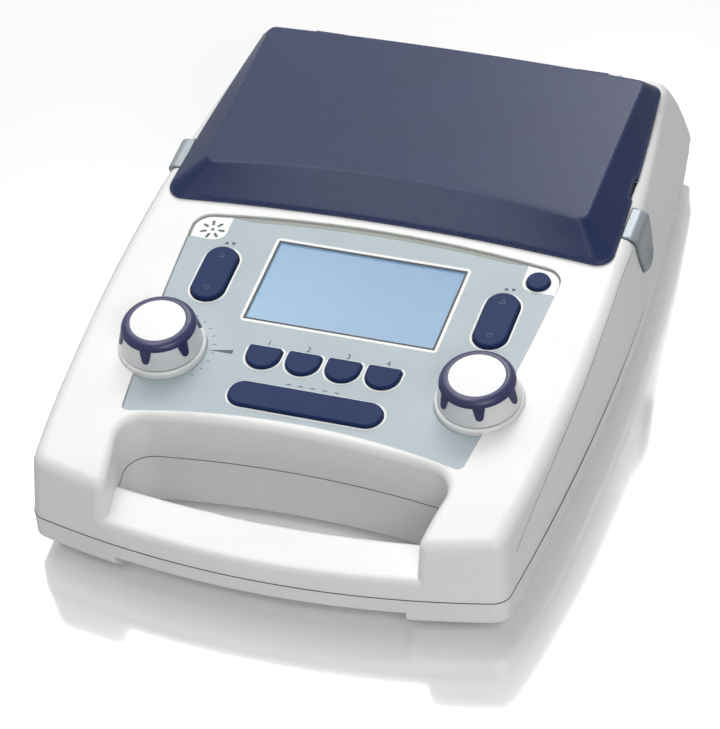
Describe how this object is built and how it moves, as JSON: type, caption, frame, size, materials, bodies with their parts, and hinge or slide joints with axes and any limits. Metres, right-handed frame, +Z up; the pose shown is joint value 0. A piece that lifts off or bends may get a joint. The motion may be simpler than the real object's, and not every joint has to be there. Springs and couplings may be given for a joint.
{
  "type": "pure tone audiometer",
  "caption": "Portable pure tone audiometer with a sloping key panel, two rotary dials, a display, a front carrying grip and a lidded rear compartment.",
  "frame": {"origin": "centre of the footprint, under the rubber feet", "axes": "+X to the user's right, +Y to the rear, +Z up"},
  "size_m": [0.2478, 0.38, 0.1009],
  "materials": {
    "white_plastic": "satin",
    "panel_film": "matte",
    "window": "gloss",
    "display": "gloss",
    "navy_plastic": "matte",
    "navy_keys": "satin",
    "grey_rubber": "matte",
    "circuit_board": "satin",
    "silver_white": "satin",
    "latch_grey": "satin",
    "steel": "brushed",
    "tray_plastic": "matte",
    "ribbon": "matte",
    "black_plastic": "matte"
  },
  "bodies": {
    "case": {"board_screws": "steel", "case_screws": "steel", "control_board": "circuit_board", "control_overlay": "panel_film", "display_bracket": "white_plastic", "display_module": "display", "display_window": "window", "headset_socket_1": "black_plastic", "headset_socket_2": "black_plastic", "headset_socket_3": "black_plastic", "headset_socket_4": "black_plastic", "key_mat": "grey_rubber", "left_encoder_body": "black_plastic", "left_hinge_pin": "steel", "left_latch_pin": "steel", "lower_case": "white_plastic", "main_board": "circuit_board", "main_board_screws": "steel", "monitor_speaker": "black_plastic", "power_inlet": "black_plastic", "power_module": "black_plastic", "ribbon_cable": "ribbon", "right_encoder_body": "black_plastic", "right_hinge_pin": "steel", "right_latch_pin": "steel", "rubber_feet": "grey_rubber", "socket_board": "circuit_board", "socket_nuts": "steel", "storage_tray": "tray_plastic", "upper_case": "white_plastic"},
    "function_key_1": {"function_key_1": "navy_keys"},
    "function_key_2": {"function_key_2": "navy_keys"},
    "function_key_3": {"function_key_3": "navy_keys"},
    "function_key_4": {"function_key_4": "navy_keys"},
    "tone_bar": {"tone_bar": "navy_keys"},
    "round_key": {"round_key": "navy_keys"},
    "right_rocker_key": {"right_rocker_key": "navy_keys"},
    "right_dial": {"right_dial_skirt": "silver_white", "right_dial_grip": "navy_plastic", "right_dial_cap": "silver_white", "right_encoder_shaft": "steel"},
    "right_latch": {"right_latch_lever": "latch_grey"},
    "left_rocker_key": {"left_rocker_key": "navy_keys"},
    "left_dial": {"left_dial_skirt": "silver_white", "left_dial_grip": "navy_plastic", "left_dial_cap": "silver_white", "left_encoder_shaft": "steel"},
    "left_latch": {"left_latch_lever": "latch_grey"},
    "lid": {"lid": "navy_plastic"}
  },
  "joints": [
    {"name": "function_key_1_press", "type": "slide", "parent": "case", "child": "function_key_1", "axis": [0, 0.1045, -0.9945], "range_m": [0, 0.001], "stiffness_N_per_m": 900},
    {"name": "function_key_2_press", "type": "slide", "parent": "case", "child": "function_key_2", "axis": [0, 0.1045, -0.9945], "range_m": [0, 0.001], "stiffness_N_per_m": 900},
    {"name": "function_key_3_press", "type": "slide", "parent": "case", "child": "function_key_3", "axis": [0, 0.1045, -0.9945], "range_m": [0, 0.001], "stiffness_N_per_m": 900},
    {"name": "function_key_4_press", "type": "slide", "parent": "case", "child": "function_key_4", "axis": [0, 0.1045, -0.9945], "range_m": [0, 0.001], "stiffness_N_per_m": 900},
    {"name": "tone_bar_press", "type": "slide", "parent": "case", "child": "tone_bar", "axis": [0, 0.1045, -0.9945], "range_m": [0, 0.001], "stiffness_N_per_m": 1200},
    {"name": "round_key_press", "type": "slide", "parent": "case", "child": "round_key", "axis": [0, 0.1045, -0.9945], "range_m": [0, 0.001], "stiffness_N_per_m": 700},
    {"name": "right_rocker_tilt", "type": "hinge", "parent": "case", "child": "right_rocker_key", "pos_m": [0.0719, -0.03624, 0.06527], "axis": [1, 0, 0], "range_deg": [-3, 3], "stiffness_Nm_per_rad": 0.6},
    {"name": "right_dial_turn", "type": "hinge", "parent": "case", "child": "right_dial", "pos_m": [0.0797, -0.0885, 0.065], "axis": [0, -0.1045, 0.9945], "continuous": true},
    {"name": "right_latch_press", "type": "hinge", "parent": "case", "child": "right_latch", "pos_m": [0.1182, 0.04215, 0.06566], "axis": [0, 0.9945, 0.1045], "range_deg": [0, 8], "stiffness_Nm_per_rad": 1.2},
    {"name": "left_rocker_tilt", "type": "hinge", "parent": "case", "child": "left_rocker_key", "pos_m": [-0.0719, -0.03624, 0.06527], "axis": [1, 0, 0], "range_deg": [-3, 3], "stiffness_Nm_per_rad": 0.6},
    {"name": "left_dial_turn", "type": "hinge", "parent": "case", "child": "left_dial", "pos_m": [-0.0797, -0.0885, 0.065], "axis": [0, -0.1045, 0.9945], "continuous": true},
    {"name": "left_latch_press", "type": "hinge", "parent": "case", "child": "left_latch", "pos_m": [-0.1182, 0.04215, 0.06566], "axis": [0, -0.9945, -0.1045], "range_deg": [0, 8], "stiffness_Nm_per_rad": 1.2},
    {"name": "lid_hinge", "type": "hinge", "parent": "case", "child": "lid", "pos_m": [0, 0.13532, 0.09275], "axis": [-1, 0, 0], "range_deg": [0, 105]}
  ]
}
